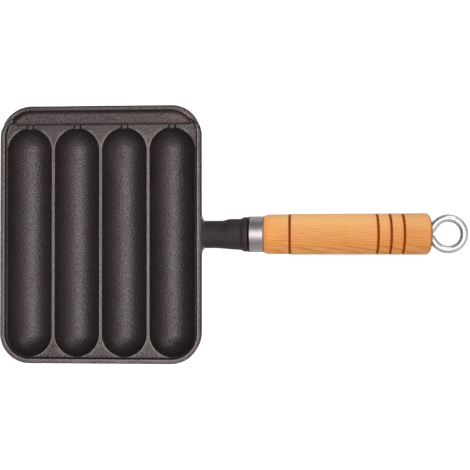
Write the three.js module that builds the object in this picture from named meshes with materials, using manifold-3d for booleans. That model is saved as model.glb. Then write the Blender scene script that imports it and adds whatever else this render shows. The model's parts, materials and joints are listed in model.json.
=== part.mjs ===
// A cast iron sausage pan with a screwed-on wooden handle, in millimetres, +Z up.
// The handle points along +X and the fat gutter lies along the +Y side.
import * as THREE from "three";
import { mergeVertices } from "three/addons/utils/BufferGeometryUtils.js";
import Module from "manifold-3d";

// Driving dimensions of the casting
const TROUGH_COUNT = 4;
const TROUGH_WIDTH = 31.6;
const TROUGH_LENGTH = 161.9;
const RIB_WIDTH = 2.6;
const LAND_STRIP = 1.9; // flat strip between an outer trough and the rim
const RIM_WIDTH = 3.8;
const RIM_HEIGHT = 3.0; // above the land that the troughs are sunk in
const RIM_EDGE_ROUND = 1.0;
const FLOOR_WALL = 4.4; // iron under the lowest line of a trough
const SHELL_WALL = 5.0; // iron at the side of a trough
const GUTTER_WIDTH = 9.2;
const GUTTER_DEPTH = 4.0; // below the land
const GUTTER_CORNER = 2.3; // rounding between the gutter's floor and its walls
const GUTTER_FLOOR_WALL = 4.2;
const GUTTER_LAND = 3.4; // flat strip between the gutter and the troughs
const CHANNEL_RADIUS = 3.0;
const CHANNEL_DEPTH = 2.6;
const NOTCH_RADIUS = 2.5;
const NOTCH_DEPTH = 2.0; // pour notch, below the top of the rim

// Driving dimensions of the neck
const HANDLE_RISE = THREE.MathUtils.degToRad(3);
const NECK_ROOT_DIAMETER = 19.9;
const NECK_END_DIAMETER = 22.4;
const NECK_LENGTH = 32.2; // from the pan's side to the collar's face
const NECK_TOP_DROP = 0.4; // the neck's top below the top of the rim
const NECK_FILLET = 5.5; // where the neck flows into the pan's side
const COLLAR_DIAMETER = 25.0;
const COLLAR_LENGTH = 3.4;
const COLLAR_FLARE = 2.6;
const TAPPED_DEPTH = 13.0;

// Driving dimensions of the handle
const FERRULE_DIAMETER = 25.6;
const FERRULE_LENGTH = 10.4;
const FERRULE_WALL = 1.0;
const FERRULE_EDGE = 0.4;
const GRIP_LENGTH = 117.5; // from the shoulder to the back end
const GRIP_FRONT_DIAMETER = 28.3;
const GRIP_BACK_DIAMETER = 29.3;
const GRIP_FRONT_ROUND = 2.8;
const GRIP_END_ROUND = 3.6; // along the handle
const GRIP_END_INSET = 6.3; // across the handle
const GROOVE_DISTANCES = [19.0, 79.8, 88.5, 97.4]; // from the grip's shoulder
const GROOVE_WIDTH = 1.8;
const GROOVE_DEPTH = 0.4;
const GROOVE_SECTION = [[-0.5, 0], [-0.25, 1], [0.25, 1], [0.5, 0]]; // shares of its width and depth

// Driving dimensions of the rod and its eye
const WIRE_DIAMETER = 5.0;
const THREAD_ENGAGEMENT = 8.0;
const THREAD_CHAMFER = 0.6;
const EYE_OUTER_DIAMETER = 27.1;
const EYE_LEG_ANGLE = THREE.MathUtils.degToRad(54); // each leg to the handle's axis
const EYE_REACH = 25.4; // past the end of the grip

// Clearances
const JOINT_GAP = 0.3; // between neighbours that butt or slide
const SEAT_GAP = 0.4; // between the eye's legs and their countersink

// Faceting
const CORNER_STEPS = 10;
const TROUGH_SIDES = 32;
const TROUGH_CAP_STEPS = 8;
const EDGE_STEPS = 3;
const LATHE_SIDES = 40;
const ARC_STEPS = 5;
const WIRE_SIDES = 12;
const EYE_STEPS = 44;
const OVERSHOOT = 6.0; // how far a cutter runs past the face that it opens

// Places worked out from the driving dimensions
const troughRadius = TROUGH_WIDTH / 2;
const troughPitch = TROUGH_WIDTH + RIB_WIDTH;
const cornerRadius = troughRadius + LAND_STRIP + RIM_WIDTH;
const panWidth = (TROUGH_COUNT - 1) * troughPitch + 2 * cornerRadius;
const panDepth = 2 * RIM_WIDTH + LAND_STRIP + TROUGH_LENGTH + GUTTER_LAND + GUTTER_WIDTH;
const landZ = troughRadius + FLOOR_WALL;
const rimZ = landZ + RIM_HEIGHT;
const trayBottomZ = landZ - GUTTER_DEPTH - GUTTER_FLOOR_WALL;
const troughCentreY = -panDepth / 2 + RIM_WIDTH + LAND_STRIP + TROUGH_LENGTH / 2;
const gutterEdgeY = panDepth / 2 - RIM_WIDTH - GUTTER_WIDTH;
const neckAxisZ = rimZ - NECK_TOP_DROP - NECK_ROOT_DIAMETER / 2;
const wireRadius = WIRE_DIAMETER / 2;
const boreRadius = wireRadius + JOINT_GAP;

// Distances along the handle's axis, from the pan's side
const ferruleStart = NECK_LENGTH + JOINT_GAP;
const ferruleEnd = ferruleStart + FERRULE_LENGTH;
const gripShoulder = ferruleEnd + JOINT_GAP;
const gripEnd = gripShoulder + GRIP_LENGTH;
const rodStart = NECK_LENGTH - THREAD_ENGAGEMENT;
const eyeLoopRadius = EYE_OUTER_DIAMETER / 2 - wireRadius;
const eyeCentre = gripEnd + EYE_REACH - EYE_OUTER_DIAMETER / 2;
const eyeApex = eyeCentre - eyeLoopRadius / Math.sin(EYE_LEG_ANGLE);

const wasm = await Module();
wasm.setup();

// A closed geometry as a solid that can be joined and cut.
function solid(geometry) {
  const bare = geometry.clone();
  bare.deleteAttribute("normal");
  bare.deleteAttribute("uv");
  const merged = mergeVertices(bare);
  return new wasm.Manifold(
    new wasm.Mesh({
      numProp: 3,
      vertProperties: merged.attributes.position.array,
      triVerts: new Uint32Array(merged.index.array),
    }),
  );
}

// A solid back as a geometry.
function geometryOf(body) {
  const mesh = body.getMesh();
  const geometry = new THREE.BufferGeometry();
  geometry.setAttribute("position", new THREE.BufferAttribute(mesh.vertProperties, 3));
  geometry.setIndex(new THREE.BufferAttribute(mesh.triVerts, 1));
  geometry.computeVertexNormals();
  return geometry;
}

// A box given by its lowest and highest corners.
function boxSolid(low, high) {
  const size = new THREE.Vector3().subVectors(high, low);
  const centre = new THREE.Vector3().addVectors(low, high).multiplyScalar(0.5);
  const geometry = new THREE.BoxGeometry(size.x, size.y, size.z);
  return solid(geometry.translate(centre.x, centre.y, centre.z));
}

// The pan's outline seen from above, drawn in by an inset.
function panOutline(inset) {
  const x = panWidth / 2 - inset;
  const y = panDepth / 2 - inset;
  const r = cornerRadius - inset;
  const outline = new THREE.Shape();
  outline.absarc(x - r, y - r, r, 0, Math.PI / 2);
  outline.absarc(r - x, y - r, r, Math.PI / 2, Math.PI);
  outline.absarc(r - x, r - y, r, Math.PI, 1.5 * Math.PI);
  outline.absarc(x - r, r - y, r, 1.5 * Math.PI, 2 * Math.PI);
  return outline;
}

// The gutter's floor seen from above: it follows the rim round both corners.
function gutterOutline(inset) {
  const x = panWidth / 2 - inset;
  const y = panDepth / 2 - inset;
  const r = cornerRadius - inset;
  const edgeY = gutterEdgeY + GUTTER_CORNER;
  const startAngle = Math.asin(Math.max(0, (edgeY - (y - r)) / r));
  const outline = new THREE.Shape();
  outline.moveTo(r - x - r * Math.cos(startAngle), edgeY);
  outline.lineTo(x - r + r * Math.cos(startAngle), edgeY);
  outline.absarc(x - r, y - r, r, startAngle, Math.PI / 2);
  outline.absarc(r - x, y - r, r, Math.PI / 2, Math.PI - startAngle);
  return outline;
}

// The body of revolution about the handle's axis of a profile of [radius, distance] points.
function turned(profile, sides) {
  const points = profile.map(([radius, distance]) => new THREE.Vector2(radius, distance));
  return new THREE.LatheGeometry(points, sides).rotateZ(-Math.PI / 2);
}

// A quarter ellipse between two [radius, distance] points of a profile. It leaves the first point along the
// axis and meets the second square to it, or the other way round.
function roundEdge(from, to, leavesAlongAxis) {
  const points = [];
  for (let i = 1; i <= ARC_STEPS; i++) {
    const turn = ((i / ARC_STEPS) * Math.PI) / 2;
    const across = leavesAlongAxis ? 1 - Math.cos(turn) : Math.sin(turn);
    const along = leavesAlongAxis ? Math.sin(turn) : 1 - Math.cos(turn);
    points.push([from[0] + (to[0] - from[0]) * across, from[1] + (to[1] - from[1]) * along]);
  }
  return points;
}

// Carries a geometry from the handle's own axis to its place on the pan.
const handleMatrix = new THREE.Matrix4()
  .makeTranslation(panWidth / 2, 0, neckAxisZ)
  .multiply(new THREE.Matrix4().makeRotationY(-HANDLE_RISE));

// The middle line of each trough, across the pan.
const troughCentres = [];
for (let i = 0; i < TROUGH_COUNT; i++) {
  troughCentres.push((i - (TROUGH_COUNT - 1) / 2) * troughPitch);
}

// A sausage-shaped solid lying along Y, centred on the land.
function sausage(radius, centreX) {
  const straight = TROUGH_LENGTH - TROUGH_WIDTH;
  const shape = new THREE.CapsuleGeometry(radius, straight, TROUGH_CAP_STEPS, TROUGH_SIDES);
  return solid(shape.translate(centreX, troughCentreY, landZ));
}

// The shallow tray that holds the rim, the land and the gutter.
function traySolid() {
  const shape = new THREE.ExtrudeGeometry(panOutline(RIM_EDGE_ROUND), {
    depth: rimZ - trayBottomZ - 2 * RIM_EDGE_ROUND,
    curveSegments: CORNER_STEPS,
    bevelSize: RIM_EDGE_ROUND,
    bevelThickness: RIM_EDGE_ROUND,
    bevelSegments: EDGE_STEPS,
  });
  return solid(shape.translate(0, 0, trayBottomZ + RIM_EDGE_ROUND));
}

// The rounded backs of the troughs, flat where the pan stands.
function troughBacks() {
  const reach = panWidth + panDepth;
  const room = boxSolid(new THREE.Vector3(-reach, -reach, 0), new THREE.Vector3(reach, reach, landZ));
  let backs = null;
  for (const x of troughCentres) {
    const back = sausage(troughRadius + SHELL_WALL, x);
    backs = backs ? backs.add(back) : back;
  }
  return backs.intersect(room);
}

// The neck, its collar, and the fillet that spreads it along the pan's side.
function neckSolid() {
  const rootRadius = NECK_ROOT_DIAMETER / 2;
  const endRadius = NECK_END_DIAMETER / 2;
  const collarRadius = COLLAR_DIAMETER / 2;
  const collarStart = NECK_LENGTH - COLLAR_LENGTH;
  const bar = turned(
    [
      [0, -SHELL_WALL - troughRadius / 2],
      [rootRadius, -SHELL_WALL - troughRadius / 2],
      [rootRadius, NECK_FILLET],
      [endRadius, collarStart - COLLAR_FLARE],
      [collarRadius, collarStart],
      [collarRadius, NECK_LENGTH],
      [0, NECK_LENGTH],
    ],
    LATHE_SIDES,
  );
  const spread = rootRadius + NECK_FILLET;
  const fillet = turned(
    [
      [0, -RIM_WIDTH / 2],
      [spread, -RIM_WIDTH / 2],
      [spread, 0],
      ...roundEdge([spread, 0], [rootRadius, NECK_FILLET], false),
      [0, NECK_FILLET],
    ],
    LATHE_SIDES,
  );
  const room = boxSolid(
    new THREE.Vector3(0, -panDepth, trayBottomZ),
    new THREE.Vector3(panWidth, panDepth, rimZ - NECK_TOP_DROP),
  );
  const spreadRoot = solid(fillet.applyMatrix4(handleMatrix)).intersect(room);
  return solid(bar.applyMatrix4(handleMatrix)).add(spreadRoot);
}

// The space inside the rim, above the land.
function rimSpace() {
  const shape = new THREE.ExtrudeGeometry(panOutline(RIM_WIDTH), {
    depth: RIM_HEIGHT + OVERSHOOT,
    curveSegments: CORNER_STEPS,
    bevelEnabled: false,
  });
  return solid(shape.translate(0, 0, landZ));
}

// The gutter, rounded between its floor and its walls.
function gutterSpace() {
  const shape = new THREE.ExtrudeGeometry(gutterOutline(RIM_WIDTH + GUTTER_CORNER), {
    depth: RIM_HEIGHT / 2,
    curveSegments: CORNER_STEPS,
    bevelSize: GUTTER_CORNER,
    bevelThickness: GUTTER_DEPTH,
    bevelSegments: EDGE_STEPS,
  });
  return solid(shape.translate(0, 0, landZ));
}

// The groove that drains one trough into the gutter.
function channelSpace(centreX) {
  const from = gutterEdgeY - GUTTER_LAND - troughRadius / 2;
  const to = gutterEdgeY + GUTTER_CORNER;
  const shape = new THREE.CylinderGeometry(CHANNEL_RADIUS, CHANNEL_RADIUS, to - from, TROUGH_SIDES / 2);
  return solid(shape.translate(centreX, (from + to) / 2, landZ - CHANNEL_DEPTH + CHANNEL_RADIUS));
}

// The pour notches through the rim, at both ends of the gutter.
function notchSpace() {
  const length = panWidth + 2 * OVERSHOOT;
  const shape = new THREE.CylinderGeometry(NOTCH_RADIUS, NOTCH_RADIUS, length, TROUGH_SIDES / 2);
  shape.rotateZ(Math.PI / 2);
  const height = rimZ - NOTCH_DEPTH + NOTCH_RADIUS;
  return solid(shape.translate(0, gutterEdgeY + NOTCH_RADIUS / 2, height));
}

// The hole that the rod screws into.
function tappedHole() {
  const bottom = NECK_LENGTH - TAPPED_DEPTH;
  const top = NECK_LENGTH + OVERSHOOT;
  const shape = turned([[0, bottom], [boreRadius, bottom], [boreRadius, top], [0, top]], LATHE_SIDES / 2);
  return solid(shape.applyMatrix4(handleMatrix));
}

function panCasting() {
  let iron = traySolid().add(troughBacks()).add(neckSolid());
  iron = iron.subtract(rimSpace()).subtract(gutterSpace()).subtract(notchSpace());
  for (const x of troughCentres) {
    iron = iron.subtract(channelSpace(x)).subtract(sausage(troughRadius, x));
  }
  return geometryOf(iron.subtract(tappedHole()));
}

// The drawn cup that covers the front of the grip.
function ferrule() {
  const outer = FERRULE_DIAMETER / 2;
  const inner = outer - FERRULE_WALL;
  return turned(
    [
      [boreRadius, ferruleStart],
      [outer - FERRULE_EDGE, ferruleStart],
      [outer, ferruleStart + FERRULE_EDGE],
      [outer, ferruleEnd],
      [inner, ferruleEnd],
      [inner, ferruleStart + FERRULE_WALL],
      [boreRadius, ferruleStart + FERRULE_WALL],
      [boreRadius, ferruleStart],
    ],
    LATHE_SIDES,
  );
}

// The grip's radius between its rounded ends.
function gripRadius(distance) {
  const share = (distance - gripShoulder) / GRIP_LENGTH;
  return (GRIP_FRONT_DIAMETER + (GRIP_BACK_DIAMETER - GRIP_FRONT_DIAMETER) * share) / 2;
}

function grip() {
  const spigotRadius = FERRULE_DIAMETER / 2 - FERRULE_WALL - JOINT_GAP;
  const spigotStart = ferruleStart + FERRULE_WALL + JOINT_GAP;
  const frontStart = [FERRULE_DIAMETER / 2, gripShoulder];
  const frontEnd = [gripRadius(gripShoulder + GRIP_FRONT_ROUND), gripShoulder + GRIP_FRONT_ROUND];
  const backRadius = gripRadius(gripEnd - GRIP_END_ROUND);
  const seatTip = eyeApex - (wireRadius + SEAT_GAP) / Math.sin(EYE_LEG_ANGLE);
  const seatSlope = Math.tan(EYE_LEG_ANGLE);
  const profile = [
    [boreRadius, spigotStart],
    [spigotRadius, spigotStart],
    [spigotRadius, gripShoulder],
    frontStart,
    ...roundEdge(frontStart, frontEnd, false),
  ];
  for (const distance of GROOVE_DISTANCES) {
    for (const [step, depth] of GROOVE_SECTION) {
      const place = gripShoulder + distance + step * GROOVE_WIDTH;
      profile.push([gripRadius(place) - depth * GROOVE_DEPTH, place]);
    }
  }
  profile.push(
    [backRadius, gripEnd - GRIP_END_ROUND],
    ...roundEdge([backRadius, gripEnd - GRIP_END_ROUND], [backRadius - GRIP_END_INSET, gripEnd], true),
    [(gripEnd - seatTip) * seatSlope, gripEnd],
    [boreRadius, seatTip + boreRadius / seatSlope],
    [boreRadius, spigotStart],
  );
  return turned(profile, LATHE_SIDES);
}

// The middle line of the eye: a straight leg, a round loop and a straight leg back.
class EyeLine extends THREE.Curve {
  getPoint(share, target = new THREE.Vector3()) {
    const leg = eyeLoopRadius / Math.tan(EYE_LEG_ANGLE);
    const turn = Math.PI + 2 * EYE_LEG_ANGLE;
    const loop = eyeLoopRadius * turn;
    const along = share * (2 * leg + loop);
    const middle = leg + loop / 2;
    const side = along <= middle ? 1 : -1;
    const half = along <= middle ? along : 2 * middle - along;
    if (half <= leg) {
      return target.set(
        eyeApex + half * Math.cos(EYE_LEG_ANGLE),
        side * half * Math.sin(EYE_LEG_ANGLE),
        0,
      );
    }
    const angle = Math.PI / 2 + EYE_LEG_ANGLE - (half - leg) / eyeLoopRadius;
    return target.set(
      eyeCentre + eyeLoopRadius * Math.cos(angle),
      side * eyeLoopRadius * Math.sin(angle),
      0,
    );
  }
}

function eyeRod() {
  const rod = turned(
    [
      [0, rodStart],
      [wireRadius - THREAD_CHAMFER, rodStart],
      [wireRadius, rodStart + THREAD_CHAMFER],
      [wireRadius, eyeApex],
      [0, eyeApex],
    ],
    LATHE_SIDES / 2,
  );
  const section = new THREE.Shape();
  for (let i = 0; i < WIRE_SIDES; i++) {
    const angle = (2 * Math.PI * i) / WIRE_SIDES;
    const x = wireRadius * Math.cos(angle);
    const y = wireRadius * Math.sin(angle);
    if (i === 0) section.moveTo(x, y);
    else section.lineTo(x, y);
  }
  const loop = new THREE.ExtrudeGeometry(section, { steps: EYE_STEPS, extrudePath: new EyeLine() });
  const bend = new THREE.SphereGeometry(wireRadius, LATHE_SIDES / 2, LATHE_SIDES / 4);
  bend.translate(eyeApex, 0, 0);
  return geometryOf(solid(rod).add(solid(bend)).add(solid(loop)));
}

const castIron = new THREE.MeshStandardMaterial({ color: 0x2c2827, roughness: 0.55, metalness: 0.4 });
const satinMetal = new THREE.MeshStandardMaterial({ color: 0xc4bcbd, roughness: 0.3, metalness: 1 });
const paleWood = new THREE.MeshStandardMaterial({ color: 0xe7a361, roughness: 0.5, metalness: 0 });
const brightWire = new THREE.MeshStandardMaterial({ color: 0xd8d8d6, roughness: 0.1, metalness: 1 });

function named(name, geometry, material) {
  const mesh = new THREE.Mesh(geometry, material);
  mesh.name = name;
  return mesh;
}

// The handle's pieces are made on its own axis and carried to the pan together.
const handle = new THREE.Group();
handle.add(named("handle_ferrule", ferrule(), satinMetal));
handle.add(named("wooden_grip", grip(), paleWood));
handle.add(named("hanging_eye_rod", eyeRod(), brightWire));
handle.applyMatrix4(handleMatrix);

const assembly = new THREE.Group();
assembly.add(named("pan_casting", panCasting(), castIron));
assembly.add(handle);

// The origin is on the surface that the pan stands on, under the middle of the whole pan.
assembly.updateMatrixWorld(true);
const bounds = new THREE.Box3().setFromObject(assembly, true);
assembly.position.set(-(bounds.min.x + bounds.max.x) / 2, 0, 0);

const pan = new THREE.Group();
pan.add(assembly);

export default pan;
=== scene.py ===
# %% [markdown]
# # A cast iron sausage pan
# The pan is four pieces. One iron casting holds four troughs, a rim, a fat gutter and the neck. A metal
# ferrule and a turned wooden grip sit on the neck, and one bent wire runs through both, screws into the
# iron and ends in a hanging eye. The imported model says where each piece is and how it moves. This script
# keeps those places and makes the surfaces: the iron's soft edges and sand grain, the wood's figure and the
# satin metal.

import json
import math
from types import SimpleNamespace

import bpy
from mathutils import Matrix, Vector


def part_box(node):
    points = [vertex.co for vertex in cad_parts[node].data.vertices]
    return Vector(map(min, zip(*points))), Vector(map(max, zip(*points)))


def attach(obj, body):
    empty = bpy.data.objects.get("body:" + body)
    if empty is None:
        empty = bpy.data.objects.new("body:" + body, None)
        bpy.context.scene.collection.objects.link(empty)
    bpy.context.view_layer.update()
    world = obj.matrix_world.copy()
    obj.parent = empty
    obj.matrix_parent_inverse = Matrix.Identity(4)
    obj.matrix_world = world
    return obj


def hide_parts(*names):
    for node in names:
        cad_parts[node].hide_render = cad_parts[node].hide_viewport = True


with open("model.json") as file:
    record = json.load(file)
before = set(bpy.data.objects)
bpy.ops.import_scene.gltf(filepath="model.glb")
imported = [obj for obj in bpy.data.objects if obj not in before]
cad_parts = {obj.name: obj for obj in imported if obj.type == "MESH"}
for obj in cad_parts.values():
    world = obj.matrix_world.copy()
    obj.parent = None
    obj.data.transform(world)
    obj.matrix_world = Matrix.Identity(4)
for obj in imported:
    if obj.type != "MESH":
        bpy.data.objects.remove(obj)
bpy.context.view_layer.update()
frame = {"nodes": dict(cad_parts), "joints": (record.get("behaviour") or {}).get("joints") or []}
print("nodes:", ", ".join(sorted(frame["nodes"])))

# %% [markdown]
# ## Two workbenches
# Each piece could be drawn in place, but the handle's tilted axis would make every number crooked. So each is
# drawn in millimetres where drawing is easiest, and then carried to its place. The casting is drawn about the
# middle of the pan. The handle's pieces are drawn along their own axis, because they are all turned or bent
# about it, and that axis rises a little towards the eye. The joint of the eye tells where it starts and which
# way it points, so the handle needs no fitting.

# %% Places from the joints
MM = 0.001

eye_joint = next(joint for joint in frame["joints"] if joint["name"] == "eye_turn")
HANDLE_START = Vector(eye_joint["pos_m"]) / MM
HANDLE_RISE = math.asin(Vector(eye_joint["axis"]).normalized().z)
PAN_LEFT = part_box("pan_casting")[0].x / MM
PAN_CENTRE = (PAN_LEFT + HANDLE_START.x) / 2

PAN_TO_FRAME = Matrix.Scale(MM, 4) @ Matrix.Translation((PAN_CENTRE, 0, 0))
HANDLE_TO_FRAME = Matrix.Scale(MM, 4) @ Matrix.Translation(HANDLE_START)
HANDLE_TO_FRAME = HANDLE_TO_FRAME @ Matrix.Rotation(-HANDLE_RISE, 4, "Y")
print("pan centre", round(PAN_CENTRE, 2), "mm, handle rises", round(math.degrees(HANDLE_RISE), 2), "degrees")

# %% [markdown]
# ## The camera
# The photograph looks down on the pan from about half a metre above the handle's root, almost straight. A
# camera could be turned by hand until it matches, but from so near a small shift changes the proportions. So
# its place, three small turns and the focal length were solved from the outline of the pan.

# %% Camera
CAMERA_PLACE = Vector((23.05, -5.55, 470.79)) * MM
CAMERA_YAW = math.radians(2.497)
CAMERA_PITCH = math.radians(0.638)
CAMERA_ROLL = math.radians(-0.071)
CAMERA_LENS = 48.69
CAMERA_SENSOR = 36.0
CAMERA_CLIP = 0.01


def add_object(name, data):
    """A new object in the scene."""
    thing = bpy.data.objects.new(name, data)
    bpy.context.scene.collection.objects.link(thing)
    return thing


camera_data = bpy.data.cameras.new("studio_camera")
camera_data.lens = CAMERA_LENS
camera_data.sensor_width = CAMERA_SENSOR
camera_data.clip_start = CAMERA_CLIP
camera = add_object("studio_camera", camera_data)
camera.matrix_world = (
    Matrix.Translation(CAMERA_PLACE)
    @ Matrix.Rotation(CAMERA_YAW, 4, "Y")
    @ Matrix.Rotation(CAMERA_PITCH, 4, "X")
    @ Matrix.Rotation(CAMERA_ROLL, 4, "Z")
)
bpy.context.scene.camera = camera
bpy.context.scene.view_settings.view_transform = "Standard"
print("camera", round(CAMERA_PLACE.z, 3), "m above the floor")

# %% [markdown]
# ## Nodes that read like arithmetic
# Geometry and shader trees both hold Math nodes, and a shape or a finish needs many of them. Adding each by
# hand buries the idea, so a small class stands for one output of a tree: adding or multiplying two such
# fields adds the Math node and gives its result. The same helpers serve every tree below.

# %% Field arithmetic
class Field:
    """A number that changes from point to point: an output of a node tree."""

    def __init__(self, tree, socket):
        self.tree = tree
        self.socket = socket

    def __add__(self, other):
        return add_math("ADD", self, other)

    def __sub__(self, other):
        return add_math("SUBTRACT", self, other)

    def __rsub__(self, other):
        return add_math("SUBTRACT", other, self)

    def __mul__(self, other):
        return add_math("MULTIPLY", self, other)

    def __truediv__(self, other):
        return add_math("DIVIDE", self, other)

    def __rtruediv__(self, other):
        return add_math("DIVIDE", other, self)

    def __neg__(self):
        return add_math("MULTIPLY", self, -1.0)

    def __abs__(self):
        return add_math("ABSOLUTE", self)

    __radd__ = __add__
    __rmul__ = __mul__


def connect(value, place):
    """Links a field or an output to an input, or sets the input to a plain value."""
    if isinstance(value, Field):
        value = value.socket
    if isinstance(value, bpy.types.NodeSocket):
        place.id_data.links.new(value, place)
    else:
        place.default_value = value


def add_node(tree, kind, inputs=(), **settings):
    """Adds a node, gives it its settings, then links or sets the inputs, which are named or numbered."""
    node = tree.nodes.new(kind)
    for name, value in settings.items():
        setattr(node, name, value)
    for place, value in dict(inputs).items():
        connect(value, node.inputs[place])
    return node


def add_math(operation, *values):
    tree = next(value.tree for value in values if isinstance(value, Field))
    node = add_node(tree, "ShaderNodeMath", enumerate(values), operation=operation)
    return Field(tree, node.outputs[0])


# %% Fields from fields
def low(a, b):
    return add_math("MINIMUM", a, b)


def high(a, b):
    return add_math("MAXIMUM", a, b)


def blend(share, first, second):
    """The first value where share is 0, and the second where it is 1."""
    return first + share * (second - first)


def length(*sides):
    total = sides[0] * sides[0]
    for side in sides[1:]:
        total = add_math("MULTIPLY_ADD", side, side, total)
    return add_math("SQRT", total)


def ramp(value, start, end, curve="SMOOTHSTEP"):
    """0 up to start, 1 from end on, and a slope between them."""
    inputs = {0: value, 1: start, 2: end}
    node = add_node(value.tree, "ShaderNodeMapRange", inputs, interpolation_type=curve)
    return Field(value.tree, node.outputs[0])


def parts(tree, vector):
    """The three numbers of a vector, as fields."""
    node = add_node(tree, "ShaderNodeSeparateXYZ", {0: vector})
    return [Field(tree, output) for output in node.outputs]


def noise(tree, vector, pitch, detail=2.0, roughness=0.5, offset=0.0):
    """A soft random field from 0 to 1 whose lumps are about one pitch apart."""
    inputs = {"Vector": vector, "Scale": 1.0 / pitch, "Detail": detail, "Roughness": roughness}
    if offset:
        moved = add_node(tree, "ShaderNodeVectorMath", {0: vector, 1: (offset,) * 3})
        inputs["Vector"] = moved.outputs[0]
    return Field(tree, add_node(tree, "ShaderNodeTexNoise", inputs).outputs[0])


# %% Node groups
def socket_kind(value):
    if value is None:
        return "NodeSocketGeometry"
    if isinstance(value, float):
        return "NodeSocketFloat"
    return "NodeSocketVector"


def field_name(label):
    return label.lower().replace(" ", "_")


def new_group(name, kind, inputs, outputs):
    """A new node group. Gives its tree, its inputs as fields, and its output node."""
    tree = bpy.data.node_groups.new(name, kind)
    for label, value in inputs.items():
        socket = tree.interface.new_socket(label, in_out="INPUT", socket_type=socket_kind(value))
        if value is not None:
            socket.default_value = value
    for label, value in outputs.items():
        tree.interface.new_socket(label, in_out="OUTPUT", socket_type=socket_kind(value))
    entry = tree.nodes.new("NodeGroupInput")
    fields = {field_name(label): Field(tree, entry.outputs[label]) for label in inputs}
    return tree, SimpleNamespace(**fields), tree.nodes.new("NodeGroupOutput")


def use_group(tree, group, inputs=()):
    """Places a node group in a tree. Gives its outputs, as fields by name."""
    kind = "GeometryNodeGroup" if tree.bl_idname == "GeometryNodeTree" else "ShaderNodeGroup"
    node = add_node(tree, kind, inputs, node_tree=group)
    return {output.name: Field(tree, output) for output in node.outputs}


# %% [markdown]
# ## Light
# The troughs show where the light was: a wide soft glow runs along each, a little right of its middle as the
# camera sees it. A half-round hollow mirrors a large lamp high above that way, so one softbox about a metre
# up gives it. At the front ends of the troughs the glow curls to the left, and a dim card behind and to the
# right makes that curl. The softbox alone would show the shapes too, but iron this black lives on what it
# mirrors. So a grey room fills the rest: brighter in front and on the right, dark behind and on the left, as
# the ferrule and the eye mirror it. The camera sees the room as plain white.

# %% Softbox and card
SOFTBOX_PLACE = Vector((-0.06, 0.0, 1.03))
SOFTBOX_SIZE = (0.62, 0.70)
SOFTBOX_POWER = 8.4
CARD_PLACE = Vector((0.40, 0.57, 0.47))
CARD_AIM = Vector((-0.09, -0.04, 0.0))
CARD_SIZE = (0.22, 0.22)
CARD_POWER = 1.8


def add_lamp(name, place, size, power):
    """A flat lamp that shines straight down until it is turned."""
    lamp_data = bpy.data.lights.new(name, "AREA")
    lamp_data.shape = "RECTANGLE"
    lamp_data.size, lamp_data.size_y = size
    lamp_data.energy = power
    lamp = add_object(name, lamp_data)
    lamp.location = place
    return lamp


add_lamp("softbox", SOFTBOX_PLACE, SOFTBOX_SIZE, SOFTBOX_POWER)
card = add_lamp("card", CARD_PLACE, CARD_SIZE, CARD_POWER)
card.rotation_euler = (CARD_AIM - CARD_PLACE).to_track_quat("-Z", "Y").to_euler()
print("softbox", SOFTBOX_POWER, "W, card", CARD_POWER, "W")

# %% Room
# A fade says how far a direction points that way where the change starts, and where it is complete.
ROOM_FRONT = 0.56
ROOM_BACK = 0.06
ROOM_FADE = (-0.35, 0.75)
HORIZON_FRONT = 0.92
HORIZON_BACK = 0.30
HORIZON_FADE = (-0.3, 0.6)
HORIZON_REACH = (0.35, 0.05)
LEFT_LOSS = 0.70
RIGHT_GAIN = 0.80

room = bpy.data.worlds.new("grey_room")
room.use_nodes = True
bpy.context.scene.world = room
direction = add_node(room.node_tree, "ShaderNodeTexCoord").outputs["Generated"]
rightward, backward, upward = parts(room.node_tree, direction)
room_light = blend(ramp(backward, *ROOM_FADE), ROOM_FRONT, ROOM_BACK)
horizon = blend(ramp(backward, *HORIZON_FADE), HORIZON_FRONT, HORIZON_BACK)
room_light = blend(ramp(upward, *HORIZON_REACH), room_light, horizon)
room_light = room_light * (1.0 + low(rightward, 0.0) * LEFT_LOSS + high(rightward, 0.0) * RIGHT_GAIN)
seen = Field(room.node_tree, add_node(room.node_tree, "ShaderNodeLightPath").outputs["Is Camera Ray"])
connect(blend(seen, room_light, 1.0), room.node_tree.nodes["Background"].inputs["Color"])
print("room", ROOM_FRONT, "in front and", ROOM_BACK, "behind")

# %% [markdown]
# ## The floor
# A plain pale sheet under the pan. White paint alone would do, but the lamp that suits black iron leaves it
# grey. So the floor also glows, to the camera and in what the metal mirrors, and its paint still takes the
# pan's shadow. By the eye the mirrored floor fades, because the photographed wire has dark edges.

# %% Floor
FLOOR_HALF = 30.0
FLOOR_HEIGHT = -0.0004
FLOOR_ALBEDO = 0.50
FLOOR_GLOW = 0.78
FLOOR_MIRRORED = 0.45
FLOOR_BY_EYE = 0.05
FLOOR_FADE = (0.110, 0.140)

floor_mesh = bpy.data.meshes.new("studio_floor")
floor_corners = [(-1, -1), (1, -1), (1, 1), (-1, 1)]
floor_points = [(x * FLOOR_HALF, y * FLOOR_HALF, FLOOR_HEIGHT) for x, y in floor_corners]
floor_mesh.from_pydata(floor_points, [], [(0, 1, 2, 3)])
studio_floor = add_object("studio_floor", floor_mesh)

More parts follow.
